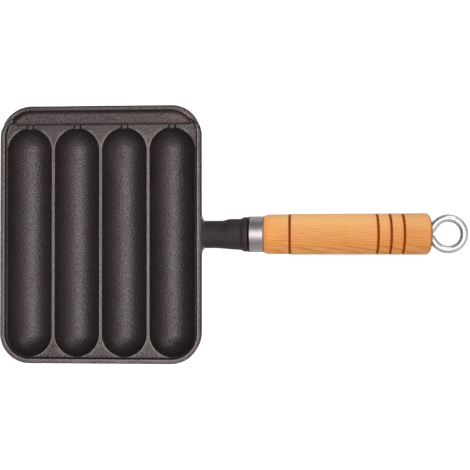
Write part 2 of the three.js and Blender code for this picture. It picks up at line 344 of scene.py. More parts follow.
floor_paint = bpy.data.materials.new("floor_paint")
floor_paint.use_nodes = True
floor_tree = floor_paint.node_tree
floor_tree.nodes.clear()
path = add_node(floor_tree, "ShaderNodeLightPath")
seen = Field(floor_tree, path.outputs["Is Camera Ray"]) * FLOOR_GLOW
mirrored = Field(floor_tree, path.outputs["Is Glossy Ray"])
mirrored = high(mirrored, Field(floor_tree, path.outputs["Is Transmission Ray"]))
floor_x, _, _ = parts(floor_tree, add_node(floor_tree, "ShaderNodeTexCoord").outputs["Object"])
mirrored = mirrored * blend(ramp(floor_x, *FLOOR_FADE), FLOOR_MIRRORED, FLOOR_BY_EYE)
glow = add_node(floor_tree, "ShaderNodeEmission", {"Strength": high(seen, mirrored)})
paint = add_node(floor_tree, "ShaderNodeBsdfDiffuse", {"Color": (*[FLOOR_ALBEDO] * 3, 1)})
both = add_node(floor_tree, "ShaderNodeAddShader", {0: glow.outputs[0], 1: paint.outputs[0]})
add_node(floor_tree, "ShaderNodeOutputMaterial", {"Surface": both.outputs[0]})
floor_mesh.materials.append(floor_paint)
print("floor", 2 * FLOOR_HALF, "m square")

# %% [markdown]
# ## Effects that several finishes share
# Three effects come back in the finishes. Every surface has large soft differences of tone. Iron, ferrule
# and wire have pits of very different size. The ferrule and the grip were turned on a lathe, which leaves
# fine rings. The rings follow the handle's tilted axis, so one more group tells where on the handle a point
# is. All this could be repeated in each material, but a shader group with named inputs is built once, and a
# finish only says how coarse it is there.

# %% Uneven tone
def place_in_mm(tree):
    """Where a shaded point lies on the part, in millimetres."""
    spot = add_node(tree, "ShaderNodeTexCoord").outputs["Object"]
    return add_node(tree, "ShaderNodeMapping", {"Vector": spot, "Scale": (1 / MM,) * 3}).outputs[0]


tone_group, tone, tone_end = new_group(
    "uneven_tone", "ShaderNodeTree", {"Patch size": 20.0, "Contrast": 1.0, "Offset": 0.0}, {"Tone": 0.5}
)
shift = add_node(tone_group, "ShaderNodeCombineXYZ", {axis: tone.offset for axis in range(3)})
spot = add_node(tone_group, "ShaderNodeVectorMath", {0: place_in_mm(tone_group), 1: shift.outputs[0]})
cloud = noise(tone_group, spot.outputs[0], tone.patch_size, detail=3.0, roughness=0.55)
connect((cloud - 0.5) * tone.contrast + 0.5, tone_end.inputs["Tone"])
print("shader group", tone_group.name)

# %% Pits and grains
LUMP_SHARE = 0.65
PIT_START = 0.42
PIT_BOTTOM = 0.26
SPARSE_DROP = 0.2

pit_group, pit, pit_end = new_group(
    "pits_and_grains", "ShaderNodeTree", {"Grain": 1.0, "Sparse": 0.0}, {"Height": 0.5, "Pit": 0.5}
)
spot = place_in_mm(pit_group)
lumps = noise(pit_group, spot, pit.grain, detail=2.0, roughness=0.6)
cells = add_node(
    pit_group, "ShaderNodeTexVoronoi", {"Vector": spot, "Scale": 1.0 / pit.grain, "Smoothness": 0.6},
    feature="SMOOTH_F1",
)
pebbles = Field(pit_group, cells.outputs["Distance"])
connect(lumps * LUMP_SHARE + (1.0 - pebbles) * (1.0 - LUMP_SHARE), pit_end.inputs["Height"])
drop = pit.sparse * SPARSE_DROP
connect(ramp(lumps, PIT_START - drop, PIT_BOTTOM - drop), pit_end.inputs["Pit"])
print("shader group", pit_group.name)

# %% Place on the handle, and turning marks
place_group, _, place_end = new_group(
    "place_on_handle", "ShaderNodeTree", {}, {"Along": 0.0, "Spoke": 0.0, "Point": (0, 0, 0)}
)
to_handle = {
    "Vector": add_node(place_group, "ShaderNodeTexCoord").outputs["Object"],
    "Location": HANDLE_START * MM,
    "Rotation": (0, -HANDLE_RISE, 0),
    "Scale": (MM,) * 3,
}
spot = add_node(place_group, "ShaderNodeMapping", to_handle, vector_type="TEXTURE").outputs[0]
along, across, up = parts(place_group, spot)
connect(along, place_end.inputs["Along"])
connect(length(across, up), place_end.inputs["Spoke"])
connect(spot, place_end.inputs["Point"])

mark_group, mark, mark_end = new_group("turning_marks", "ShaderNodeTree", {"Pitch": 0.3}, {"Height": 0.5})
place = use_group(mark_group, place_group)
ring = add_node(mark_group, "ShaderNodeCombineXYZ", {0: place["Along"]}).outputs[0]
connect(noise(mark_group, ring, mark.pitch, detail=3.0, roughness=0.65), mark_end.inputs["Height"])
print("shader groups", place_group.name, "and", mark_group.name)

# %% Helpers for finishes
def new_finish(name):
    """A new material, its tree, and the Principled BSDF that is in it."""
    finish = bpy.data.materials.new(name)
    finish.use_nodes = True
    return finish, finish.node_tree, finish.node_tree.nodes["Principled BSDF"]


def mix_colour(tree, share, first, second):
    """The first colour where share is 0, and the second where it is 1."""
    node = add_node(tree, "ShaderNodeMix", data_type="RGBA")
    for place, value in ((0, share), (6, first), (7, second)):
        connect(value, node.inputs[place])
    return node.outputs[2]


def paint_over(tree, colour, coats):
    """A colour with others laid over it in turn, each as strong as its share says."""
    for share, coat in coats:
        colour = mix_colour(tree, share, colour, coat)
    return colour


def rgb(red, green, blue):
    """A colour as it looks on a screen, from 0 to 255, as the light that Blender reckons with."""
    light = []
    for part in (red, green, blue):
        share = part / 255
        light.append(share / 12.92 if share <= 0.04045 else ((share + 0.055) / 1.055) ** 2.4)
    return (*light, 1.0)


def add_bump(tree, height, depth):
    """A bump whose height of 1 stands depth millimetres proud."""
    inputs = {"Height": height, "Distance": depth * MM, "Strength": 1.0}
    return add_node(tree, "ShaderNodeBump", inputs).outputs[0]


# %% [markdown]
# ## The iron's finish
# The pan is black iron, oiled and burnt in. It has a grain as fine as moulding sand and is no mirror
# anywhere: the light is a broad sheen with a warm tint. Black paint would do for the colour, but the sheen is
# what shows the shape, so the work is in roughness and grain. On the ribs and the edges of the rim that face
# up, the iron is painted paler: partly rubbed by use, partly a painted highlight. The outer walls are painted
# nearly black as painted shade, darkest where they face back, and a nearly black metal mirrors almost
# nothing.
# The neck has less grain and less sheen, the specks are stronger in the gutter, and a trace of burnt fat lies
# at its right end.

# %% Colours and places on the iron
IRON_DARK = rgb(25, 22, 21)
IRON_LIGHT = rgb(39, 34, 33)
# Pale iron: rubbed by use and a painted highlight on up-facing edges, and a little of it on the gutter floor
IRON_PALE = rgb(124, 112, 111)
# Painted shade in the concave hollows of the casting
IRON_HOLLOW_SHADE = rgb(24, 21, 20)
# Nearly black: painted shade on the outer walls, and the dark specks in the gutter
IRON_BLACK = rgb(20, 17, 16)
IRON_NECK = rgb(34, 29, 28)
BURNT_FAT = rgb(96, 74, 60)
SHEEN_WARM = (1.0, 0.84, 0.85, 1.0)

# A pair says where a change starts and where it is complete: in millimetres, or as a share.
RIM_FOOT = (21.4, 22.4)
RIM_BEHIND = (84.0, 89.0)
RIM_BEHIND_LOSS = 0.85
RIB_BACK = (76.0, 74.0)
RIB_RIGHT = (66.0, 64.0)
RIB_LEFT = (-72.0, -70.0)
HIGHLIT_FACES = (0.75, 0.95)
SHADED_WALL_FACES = (0.985, 0.85)
SHADE_BEHIND = 0.35
NECK_ROOT = (-2.0, 0.4)
NECK_ROOT_BEND = 0.035
ROOT_ALONG = (-6.0, -4.0)
ROOT_ACROSS = (15.0, 12.0)
ROOT_LESS_SHADE = 0.75
GUTTER_FRONT = (78.0, 80.0)
GUTTER_HEIGHT = (19.5, 18.0)
STAIN_PLACE = (-36.0, 83.2)
STAIN_REACH = (11.0, 5.2)
STAIN_EDGE = (1.0, 0.35)
STAIN_RAGGED = 0.9
STAIN_HEIGHT = (20.0, 18.5)

# %% Where the iron differs
iron_finish, tree, shader = new_finish("oiled_cast_iron")
place = use_group(tree, place_group)
x, y, z = parts(tree, place_in_mm(tree))
_, across, _ = parts(tree, place["Point"])
edge, hollow, outer = (
    Field(tree, add_node(tree, "ShaderNodeAttribute", attribute_name=name).outputs["Fac"])
    for name in ("edge", "hollow", "outer")
)
_, facing_back, facing_up = parts(tree, add_node(tree, "ShaderNodeNewGeometry").outputs["Normal"])
broad = use_group(tree, tone_group, {"Patch size": 34.0, "Contrast": 1.4})["Tone"]
patchy = use_group(tree, tone_group, {"Patch size": 5.0, "Contrast": 1.3, "Offset": 71.0})["Tone"]
sand = use_group(tree, pit_group, {"Grain": 1.12})

neck = ramp(place["Along"] - across * across * NECK_ROOT_BEND, *NECK_ROOT)
on_rim = ramp(z, *RIM_FOOT) * (1.0 - ramp(y, *RIM_BEHIND) * RIM_BEHIND_LOSS)
from_middle = x - PAN_CENTRE
on_rib = ramp(y, *RIB_BACK) * ramp(from_middle, *RIB_RIGHT) * ramp(from_middle, *RIB_LEFT)
# Painted highlight, partly rubbing: up-facing edges of the rim and the ribs are painted paler
rubbed_and_highlit = edge * ramp(facing_up, *HIGHLIT_FACES) * high(on_rim, on_rib)
by_root = ramp(place["Along"], *ROOT_ALONG) * ramp(abs(across), *ROOT_ACROSS)
# Painted shade: outer walls that face sideways are painted nearly black, more facing back, less by the root
shaded_outer_wall = outer * ramp(facing_up - high(facing_back, 0.0) * SHADE_BEHIND, *SHADED_WALL_FACES)
shaded_outer_wall = shaded_outer_wall * (1.0 - by_root * ROOT_LESS_SHADE)
in_gutter = ramp(y, *GUTTER_FRONT) * ramp(z, *GUTTER_HEIGHT)
stain = length((x - STAIN_PLACE[0]) / STAIN_REACH[0], (y - STAIN_PLACE[1]) / STAIN_REACH[1])
stain = ramp(stain + (patchy - 0.5) * STAIN_RAGGED, *STAIN_EDGE) * ramp(z, *STAIN_HEIGHT)
print("masks for worn, sooty and stained iron")

# %% Iron finish
IRON_ROUGHNESS = 0.425
MATTE_ROUGHNESS = 0.76
IRON_GLOSS = 0.745
SAND_HEIGHT = 0.48

colour = mix_colour(tree, broad * 0.6 + patchy * 0.4, IRON_DARK, IRON_LIGHT)
colour = paint_over(tree, colour, [
    # painted highlight and rubbing on up-facing edges
    (rubbed_and_highlit * 0.8, IRON_PALE),
    # painted shade in the hollows
    (hollow * 0.6, IRON_HOLLOW_SHADE),
    (in_gutter * 0.12, IRON_PALE),
    (sand["Pit"] * in_gutter * 0.5, IRON_BLACK),
    (neck, IRON_NECK),
    # painted shade on the outer walls
    (shaded_outer_wall, IRON_BLACK),
    (stain * 0.7, BURNT_FAT),
])
connect(colour, shader.inputs["Base Color"])

rough = IRON_ROUGHNESS + (broad - 0.5) * 0.10 + (patchy - 0.5) * 0.10
rough = rough + sand["Pit"] * 0.14 + hollow * 0.15 - rubbed_and_highlit * 0.06
connect(blend(high(neck, shaded_outer_wall), rough, MATTE_ROUGHNESS), shader.inputs["Roughness"])
sand_height = sand["Height"] * (1.0 - neck * 0.75 + in_gutter * 0.8)
connect(add_bump(tree, sand_height, SAND_HEIGHT), shader.inputs["Normal"])
pitted = sand["Pit"] * (0.4 + in_gutter * 0.1)
connect(high(shaded_outer_wall * 0.95, high(pitted, neck * 0.2)), shader.inputs["Metallic"])
shader.inputs["Specular IOR Level"].default_value = IRON_GLOSS
shader.inputs["Specular Tint"].default_value = SHEEN_WARM
print("finish", iron_finish.name, "with", len(tree.nodes), "nodes")

# %% [markdown]
# ## The casting as a distance field
# The casting is a few simple shapes that flow into each other: a tray, four round backs, a neck, and the
# hollows cut from them. Booleans would join them with hard edges that iron never has, and bevels fail where
# many edges meet. So the shape is written as a rule instead: for each point of space, how far it is from the
# iron's surface, negative inside. The smaller of two such distances joins two shapes, the larger one keeps
# what they share, and a rounded version of each leaves a fillet. Geometry Nodes evaluates the rule in a fine
# grid and wraps a mesh round the zero level. Left and right are nearly alike, so most of the rule uses the
# distance from the middle. The back left corner is rounder on the real pan and has sizes of its own.

# %% Sizes of the casting
CASTING_SIZES = {
    "Pan width": 144.5,
    "Pan shift": -0.17,
    "Pan depth": 184.25,
    "Corner radius": 20.8,
    "Left corner radius": 23.2,
    "Front corner radius": 21.5,
    "Rim top": 23.2,
    "Rim width": 3.4,
    "Rim shift X": 0.3,
    "Rim shift Y": 0.4,
    "Rim round": 1.2,
    "Land top": 20.2,
    "Tray bottom": 12.0,
    "Draft": 0.07,
    "Trough pitch": 34.35,
    "Trough shift": -0.2,
    "Trough width": 31.6,
    "Trough front": -87.1,
    "Trough back": 76.2,
    "Shell wall": 5.0,
    "Valley round": 4.0,
    "Gutter edge": 79.0,
    "Gutter floor": 16.2,
    "Gutter corner growth": 2.0,
    "Left gutter growth": -1.0,
    "Gutter end round": 3.2,
    "Left gutter round": 5.2,
    "Channel width": 3.4,
    "Channel floor": 18.0,
    "Channel slope": 0.45,
    "Notch radius": 1.4,
    "Notch depth": 1.1,
    "Notch slant": 0.62,
    "Notch offset": -1.8,
    "Handle start": HANDLE_START.x - PAN_CENTRE,
    "Handle height": HANDLE_START.z,
    "Handle rise": HANDLE_RISE,
    "Neck root diameter": 19.9,
    "Neck end diameter": 22.4,
    "Neck length": 33.05,
    "Neck fillet": 6.3,
    "Neck top drop": 0.1,
    "Collar diameter": 25.0,
    "Collar length": 2.6,
    "Collar flare": 3.2,
    "Hole diameter": 5.6,
    "Hole depth": 13.6,
    "Edge round": 0.7,
    "Outer lip round": 1.3,
    "Waviness": 0.10,
    "Wave length": 17.0,
}

# Roundings and reaches in millimetres, and two factors: ROOT_STRETCH and CHANNEL_LEAN
BASE_ROUND = 0.8
COLLAR_ROUND = 0.4
NECK_INSIDE = 12.0
SWELL_FRONT = 8.0
SWELL_BACK = (13.5, 20.5)
SWELL_BLEND = (-5.0, 5.0)
ROOT_STRETCH = 2.6
ROOT_ROUND = 1.0
ROOT_REACH = 9.0
LAND_ROUND = 1.2
LAND_LIP = 0.8
GUTTER_INSET = 0.55
GUTTER_FLOOR_ROUND = 2.5
CHANNEL_LEAN = 0.91
CHANNEL_ROUND = 0.5
CHANNEL_BACK = 4.0
CHANNEL_FRONT = 12.0
NOTCH_REACH = 12.0
BODY_FILLET = 2.0
SPACE_FILLET = 0.6
CHANNEL_FILLET = 0.5
OUTER_LIP = (9.0, 14.0)
HOLE_ROUND = 0.5


def round_or(a, b, radius):
    """Two shapes joined, with a fillet of that radius where they meet."""
    return high(low(a, b), radius) - length(high(radius - a, 0.0), high(radius - b, 0.0))


def round_and(a, b, radius):
    """What two shapes share, with edges rounded to that radius."""
    return low(high(a, b), -radius) + length(high(a + radius, 0.0), high(b + radius, 0.0))


# %% Outline and tray
field_group, s, field_end = new_group(
    "casting_field", "GeometryNodeTree",
    {"Point": (0, 0, 0), **CASTING_SIZES}, {"Distance": 0.0, "Outer wall": 0.0},
)
x, y, z = parts(field_group, s.point)
side = abs(x - s.pan_shift)
inner_side = abs(x - s.rim_shift_x)
inner_y = abs(y - s.rim_shift_y)
half_width = s.pan_width * 0.5
half_depth = s.pan_depth * 0.5


def rounded_box(from_x, from_y, corner):
    """Distance from the pan's outline, seen from above, with corners of that radius."""
    past_x = from_x - half_width + corner
    past_y = from_y - half_depth + corner
    return length(high(past_x, 0.0), high(past_y, 0.0)) + low(high(past_x, past_y), 0.0) - corner


is_left_corner = add_math("LESS_THAN", x, 0.0) * add_math("GREATER_THAN", y, 0.0)
corner = blend(is_left_corner, s.corner_radius, s.left_corner_radius)
corner = blend(add_math("LESS_THAN", y, 0.0), corner, s.front_corner_radius)
outline = rounded_box(side, abs(y), corner)
tapered = outline + (s.rim_top - z) * s.draft
tray_middle = (s.rim_top + s.tray_bottom) * 0.5
tray = round_and(tapered, abs(z - tray_middle) - (s.rim_top - s.tray_bottom) * 0.5, s.rim_round)
print("tray", CASTING_SIZES["Pan width"], "by", CASTING_SIZES["Pan depth"], "mm")

# %% Troughs and their backs
trough_radius = s.trough_width * 0.5
trough_side = abs(x - s.trough_shift)
end_middle = (s.trough_back + s.trough_front) * 0.5
end_half = (s.trough_back - s.trough_front) * 0.5 - trough_radius
past_end = high(abs(y - end_middle) - end_half, 0.0)
down = z - s.land_top
inner_line = length(trough_side - s.trough_pitch * 0.5, past_end, down)
outer_line = length(trough_side - s.trough_pitch * 1.5, past_end, down)
across_line = length(trough_side + s.trough_pitch * 0.5, past_end, down)
trough = low(inner_line, outer_line) - trough_radius

back_radius = trough_radius + s.shell_wall
backs = round_or(inner_line - back_radius, outer_line - back_radius, s.valley_round)
backs = round_or(backs, across_line - back_radius, s.valley_round)
backs = high(high(backs, down), tapered)
backs = round_and(backs, -z, BASE_ROUND)
print("troughs", CASTING_SIZES["Trough width"], "mm wide,", CASTING_SIZES["Trough pitch"], "mm apart")

# %% Neck and collar
out = x - s.handle_start
lift = z - s.handle_height
rise_cos = add_math("COSINE", s.handle_rise)
rise_sin = add_math("SINE", s.handle_rise)
along = out * rise_cos + lift * rise_sin
up = lift * rise_cos - out * rise_sin
spoke = length(y, up)

collar_start = s.neck_length - s.collar_length
flare_start = collar_start - s.collar_flare
swell = blend(ramp(y, *SWELL_BLEND), ramp(along, SWELL_FRONT, flare_start), ramp(along, *SWELL_BACK))
girth = blend(swell, s.neck_root_diameter, s.neck_end_diameter)
girth = girth + (s.collar_diameter - s.neck_end_diameter) * ramp(along, flare_start, collar_start)
barrel = spoke - girth * 0.5
neck = high(round_and(barrel, along - s.neck_length, COLLAR_ROUND), -along - NECK_INSIDE)

root_top = s.rim_top - s.neck_top_drop
root_middle = (root_top + s.tray_bottom) * 0.5
root = round_or(outline * ROOT_STRETCH, barrel, s.neck_fillet)
root = round_and(root, abs(z - root_middle) - (root_top - s.tray_bottom) * 0.5, ROOT_ROUND)
root = high(root, high(along - ROOT_REACH, -along - NECK_INSIDE))
print("neck", CASTING_SIZES["Neck length"], "mm long")

# %% Gutter, channels and notches
land_outline = rounded_box(inner_side, inner_y, corner) + s.rim_width
above_land = round_and(land_outline, s.land_top - z, LAND_ROUND)
above_land = round_and(above_land, y - s.gutter_edge - LAND_LIP, LAND_LIP)
growth = blend(is_left_corner, s.gutter_corner_growth, s.left_gutter_growth)
gutter_outline = rounded_box(inner_side, inner_y, corner + growth) + s.rim_width + GUTTER_INSET
end_round = blend(is_left_corner, s.gutter_end_round, s.left_gutter_round)
gutter_plan = round_and(gutter_outline, s.gutter_edge - y, end_round)
gutter = round_and(gutter_plan, s.gutter_floor - z, GUTTER_FLOOR_ROUND)

from_trough_line = low(abs(trough_side - s.trough_pitch * 0.5), abs(trough_side - s.trough_pitch * 1.5))
channel_side = from_trough_line - s.channel_width * 0.5 - (z - s.channel_floor) * s.channel_slope
channel = round_and(channel_side * CHANNEL_LEAN, s.channel_floor - z, CHANNEL_ROUND)
channel = high(channel, high(y - s.gutter_edge - CHANNEL_BACK, s.gutter_edge - CHANNEL_FRONT - y))

notch_run = side - half_width + s.rim_width * 0.5
notch_across = y - s.gutter_edge - s.notch_offset + notch_run * s.notch_slant
notch_up = z - s.rim_top + s.notch_depth - s.notch_radius
notch = high(length(notch_across, notch_up) - s.notch_radius, half_width - NOTCH_REACH - side)
print("gutter floor", CASTING_SIZES["Gutter floor"], "mm up")

# %% Join, cut and roughen
body = high(round_or(tray, backs, BODY_FILLET), tapered)
iron = low(round_or(body, neck, BODY_FILLET), root)
iron = high(iron, low(z - s.rim_top, -along))

space = round_or(above_land, gutter, SPACE_FILLET)
space = round_or(space, channel, CHANNEL_FILLET)
outer_lip = ramp(x - s.trough_shift - s.trough_pitch * 1.5, *OUTER_LIP)
space = round_or(space, trough, blend(outer_lip, s.edge_round, s.outer_lip_round))
space = round_or(space, notch, SPACE_FILLET)
iron = round_and(iron, -space, s.edge_round)

hole = high(spoke - s.hole_diameter * 0.5, s.neck_length - s.hole_depth - along)
iron = round_and(iron, -hole, HOLE_ROUND)
ripple = noise(field_group, s.point, s.wave_length, detail=1.0)
connect(iron + ripple * s.waviness * 2.0, field_end.inputs["Distance"])
connect(tapered, field_end.inputs["Outer wall"])
print("the casting's rule has", len(field_group.nodes), "nodes")

# %% [markdown]
# ## From the rule to a mesh
# A grid of half a millimetre catches every fillet but makes far more faces than the flat parts need. Decimate
# takes most of them away, which moves points a little off the surface, so a second tree pulls every point
# back along the slope of the rule. The same slope is the exact normal. That tree also asks the rule how near
# the surface is a bit further in and a bit further out, which tells edges from hollows, and keeps both for
# the finish, with a mark on the outer wall.

# %% Volume tree
GRID_LOW = (-74.5, -93.5, -1.5)
GRID_HIGH = (107.5, 93.5, 28.5)
VOXEL = 0.5


def link_sizes(sizes):
    """The casting's sizes in a tree, under the labels of the rule's inputs."""
    return {label: getattr(sizes, field_name(label)) for label in CASTING_SIZES}


def give_finish(geometry, finish, end):
    """Ends a geometry tree: makes its mesh real, gives it a finish and links it to the output."""
    tree = end.id_data
    real = add_node(tree, "GeometryNodeRealizeInstances", {0: geometry}).outputs[0]
    painted = add_node(tree, "GeometryNodeSetMaterial", {0: real, "Material": finish}).outputs[0]
    connect(painted, end.inputs[0])


volume_tree, sizes, volume_end = new_group(
    "casting_volume", "GeometryNodeTree", CASTING_SIZES, {"Geometry": None}
)
here = add_node(volume_tree, "GeometryNodeInputPosition").outputs[0]
distance = use_group(volume_tree, field_group, {"Point": here, **link_sizes(sizes)})["Distance"]
cube = add_node(
    volume_tree, "GeometryNodeVolumeCube",
    {"Density": -distance, "Background": -1.0, "Min": GRID_LOW, "Max": GRID_HIGH},
)
for axis, first, last in zip("XYZ", GRID_LOW, GRID_HIGH):
    cube.inputs[f"Resolution {axis}"].default_value = round((last - first) / VOXEL) + 1
wrapped = add_node(volume_tree, "GeometryNodeVolumeToMesh", {"Volume": cube.outputs[0], "Threshold": 0.0})
give_finish(wrapped.outputs[0], iron_finish, volume_end)
print("grid of", VOXEL, "mm from", GRID_LOW, "to", GRID_HIGH)

# %% Settling tree
SLOPE_STEP = 0.05
PROBE = 1.6
LARGEST_PULL = 0.3
LEAST_STEEPNESS = 0.5

settle_tree, sizes, settle_end = new_group(
    "casting_settle", "GeometryNodeTree", {"Geometry": None, **CASTING_SIZES}, {"Geometry": None}
)
here = add_node(settle_tree, "GeometryNodeInputPosition").outputs[0]


def distance_at(offset, output="Distance"):
    """What the rule gives at each point of the mesh, moved by an offset."""
    moved = add_node(settle_tree, "ShaderNodeVectorMath", {0: here, 1: offset}).outputs[0]
    return use_group(settle_tree, field_group, {"Point": moved, **link_sizes(sizes)})[output]


def slope_vector(factor):
    scaled = [slope * factor for slope in slopes]
    return add_node(settle_tree, "ShaderNodeCombineXYZ", enumerate(scaled)).outputs[0]


level = distance_at((0, 0, 0))
steps = [(SLOPE_STEP, 0, 0), (0, SLOPE_STEP, 0), (0, 0, SLOPE_STEP)]
slopes = [(distance_at(step) - level) / SLOPE_STEP for step in steps]
steepness = high(length(*slopes), LEAST_STEEPNESS)
pull = low(high(-level / steepness, -LARGEST_PULL), LARGEST_PULL)
inside = distance_at(slope_vector(-PROBE / steepness)) - level
outside = distance_at(slope_vector(PROBE / steepness)) - level
print("the rule is asked", PROBE, "mm in and out")

# %% Settle, mark edges and hollows
EDGE_BEND = (-0.95, -0.35)
HOLLOW_BEND = (0.95, 0.35)
OUTER_BAND = (-1.4, -0.8)


def store(geometry, name, value):
    inputs = {"Geometry": geometry, "Name": name, "Value": value}
    return add_node(settle_tree, "GeometryNodeStoreNamedAttribute", inputs, data_type="FLOAT").outputs[0]


geometry = store(sizes.geometry, "edge", ramp(inside / PROBE, *EDGE_BEND))
geometry = store(geometry, "hollow", ramp(outside / PROBE, *HOLLOW_BEND))
geometry = store(geometry, "outer", ramp(distance_at((0, 0, 0), "Outer wall"), *OUTER_BAND))
capture = add_node(settle_tree, "GeometryNodeCaptureAttribute", {"Geometry": geometry})
capture.capture_items.new("VECTOR", "Normal")
connect(slope_vector(1.0 / steepness), capture.inputs["Normal"])
moved = {"Geometry": capture.outputs["Geometry"], "Offset": slope_vector(pull / steepness)}
geometry = add_node(settle_tree, "GeometryNodeSetPosition", moved).outputs[0]
facing = add_node(settle_tree, "GeometryNodeSetMeshNormal", {"Mesh": geometry}, mode="FREE", domain="POINT")
connect(capture.outputs["Normal"], facing.inputs["Custom Normal"])
give_finish(facing.outputs[0], iron_finish, settle_end)
print("the settling tree has", len(settle_tree.nodes), "nodes")

# %% Make the casting
MOST_TRIANGLES = 190000
SETTLE_TURNS = 3


def new_holder(name):
    return add_object(name, bpy.data.meshes.new(name))


def apply_modifiers(holder):
    """Turns what the modifiers make into the object's own plain mesh."""
    graph = bpy.context.evaluated_depsgraph_get()
    mesh = bpy.data.meshes.new_from_object(holder.evaluated_get(graph), depsgraph=graph)
    holder.modifiers.clear()
    holder.data = mesh
    return mesh


def triangle_count(mesh):
    return sum(len(face.vertices) - 2 for face in mesh.polygons)


casting = new_holder("iron_casting")
casting.modifiers.new("wrap", "NODES").node_group = volume_tree
wrapped_count = triangle_count(apply_modifiers(casting))
casting.modifiers.new("thin", "DECIMATE").ratio = MOST_TRIANGLES / wrapped_count
for _ in range(SETTLE_TURNS):
    casting.modifiers.new("settle", "NODES").node_group = settle_tree
casting_mesh = apply_modifiers(casting)
casting_mesh.name = casting.name
casting_mesh.transform(PAN_TO_FRAME)
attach(casting, "pan")
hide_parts("pan_casting")
print("casting", wrapped_count, "triangles, thinned to", triangle_count(casting_mesh))

# %% [markdown]
# ## Turned pieces
# The ferrule and the grip are both turned, so each is one profile swept round the handle's axis. A profile is
# a list of corners, and each corner says how far its rounding reaches back and on, because no turned or drawn
# edge is sharp. A Screw modifier could sweep it, but plain code keeps the profile in millimetres and closed.

# %% Turning helpers
ROUND_STEPS = 7
TURN_SIDES = 144
SHARP_ANGLE = math.radians(50)


def rounded(corners):
    """A closed profile of (radius, along, reach back, reach on) corners, with each corner rounded."""
    profile = []
    for i, (radius, along, reach_back, reach_on) in enumerate(corners):
        here = Vector((radius, along))
        before = Vector(corners[i - 1][:2])
        after = Vector(corners[(i + 1) % len(corners)][:2])
        start = here + (before - here).normalized() * reach_back
        end = here + (after - here).normalized() * reach_on
        for step in range(ROUND_STEPS + 1):
            share = step / ROUND_STEPS
            profile.append(start.lerp(here, share).lerp(here.lerp(end, share), share))
    return profile


def turned(name, profile, finish):
    """A profile swept round the handle's axis, as an object in its place."""
    points = []
    faces = []
    count = len(profile)
    for turn in range(TURN_SIDES):
        angle = 2 * math.pi * turn / TURN_SIDES
        points += [(p.y, p.x * math.cos(angle), p.x * math.sin(angle)) for p in profile]
        first = turn * count
        second = (turn + 1) % TURN_SIDES * count
        for k in range(count):
            after = (k + 1) % count
            faces.append((first + k, first + after, second + after, second + k))
    piece = new_holder(name)
    piece.data.from_pydata(points, [], faces)
    piece.data.transform(HANDLE_TO_FRAME)
    piece.data.shade_smooth()
    piece.data.set_sharp_from_angle(angle=SHARP_ANGLE)
    piece.data.materials.append(finish)
    return piece


# %% [markdown]
# ## The ferrule
# A shallow cup drawn from sheet metal, with a hole in its bottom for the rod. It was skimmed on a lathe, so
# the metal is satin with fine rings, and the light from above lies on it as one soft bright band. A plain
# grey metal would do from far off, but rings are what the light catches near by, so they are pressed in as a
# bump that changes along the axis. Against the neck its rounded edge is painted nearly black, as a painted
# shadow in the gap.

# %% Ferrule finish
FERRULE_START = 33.1
FERRULE_END = 43.9
SEAM_SHADOW_BAND = (FERRULE_START + 1.4, FERRULE_START + 0.9)
EDGE_BAND = (FERRULE_END - 0.6, FERRULE_END)
FERRULE_DARK = rgb(147, 138, 141)
FERRULE_LIGHT = rgb(161, 152, 155)
FERRULE_PIT = rgb(150, 142, 142)
FERRULE_EDGE = rgb(120, 110, 108)
# Nearly black: a painted shadow in the gap against the neck
FERRULE_SEAM_SHADOW = rgb(30, 20, 21)
FERRULE_ROUGHNESS = 0.46
FERRULE_BUMP = 0.016

ferrule_finish, tree, shader = new_finish("satin_ferrule_metal")
place = use_group(tree, place_group)
marks = use_group(tree, mark_group, {"Pitch": 0.22})["Height"]
pits = use_group(tree, pit_group, {"Grain": 0.6, "Sparse": 0.3})
smudge = use_group(tree, tone_group, {"Patch size": 7.0, "Contrast": 1.6})["Tone"]
colour = paint_over(tree, mix_colour(tree, smudge, FERRULE_DARK, FERRULE_LIGHT), [
    (pits["Pit"] * 0.4, FERRULE_PIT),
    (ramp(place["Along"], *EDGE_BAND) * 0.5, FERRULE_EDGE),
    # painted shadow where the ferrule meets the neck
    (ramp(place["Along"], *SEAM_SHADOW_BAND), FERRULE_SEAM_SHADOW),
])
connect(colour, shader.inputs["Base Color"])
rough = FERRULE_ROUGHNESS + (smudge - 0.5) * 0.12 + (marks - 0.5) * 0.12
connect(rough, shader.inputs["Roughness"])
connect(add_bump(tree, marks + pits["Height"] * 0.3, FERRULE_BUMP), shader.inputs["Normal"])
shader.inputs["Metallic"].default_value = 1.0
print("finish", ferrule_finish.name, "with", len(tree.nodes), "nodes")

# %% Ferrule
FERRULE_RADIUS = 12.85
FERRULE_WALL = 1.0
BORE_RADIUS = 2.8

inner_radius = FERRULE_RADIUS - FERRULE_WALL
cup_floor = FERRULE_START + FERRULE_WALL
ferrule = turned("metal_ferrule", rounded([
    (BORE_RADIUS, FERRULE_START, 0.2, 0.2),
    (FERRULE_RADIUS, FERRULE_START, 0.7, 0.7),
    (FERRULE_RADIUS, FERRULE_END, 0.35, 0.35),
    (inner_radius, FERRULE_END, 0.25, 0.25),
    (inner_radius, cup_floor, 0.6, 0.6),
    (BORE_RADIUS, cup_floor, 0.2, 0.2),
]), ferrule_finish)
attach(ferrule, "handle")
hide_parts("handle_ferrule")
print("ferrule", triangle_count(ferrule.data), "triangles")

# %% [markdown]
# ## The grip
# Pale straight-grained wood, turned, lacquered, and marked with four grooves that a hot wire burnt in. The
# grain is a set of growth layers cut by the turning tool, so its lines run along the grip with a slight
# slant. Wave textures look printed. Here stacked layers are bent by noise, and much finer fibres, drawn out
# along the axis, lie over them. The far side is painted paler with fainter layer lines, as painted light from
# behind, and the near side a little darker, as painted shade. The wood is warmer by the ferrule and deeper
# towards the eye. Its end grain is darker, and darkest at the edge, where painted shade stands for the shadow
# on the end face.

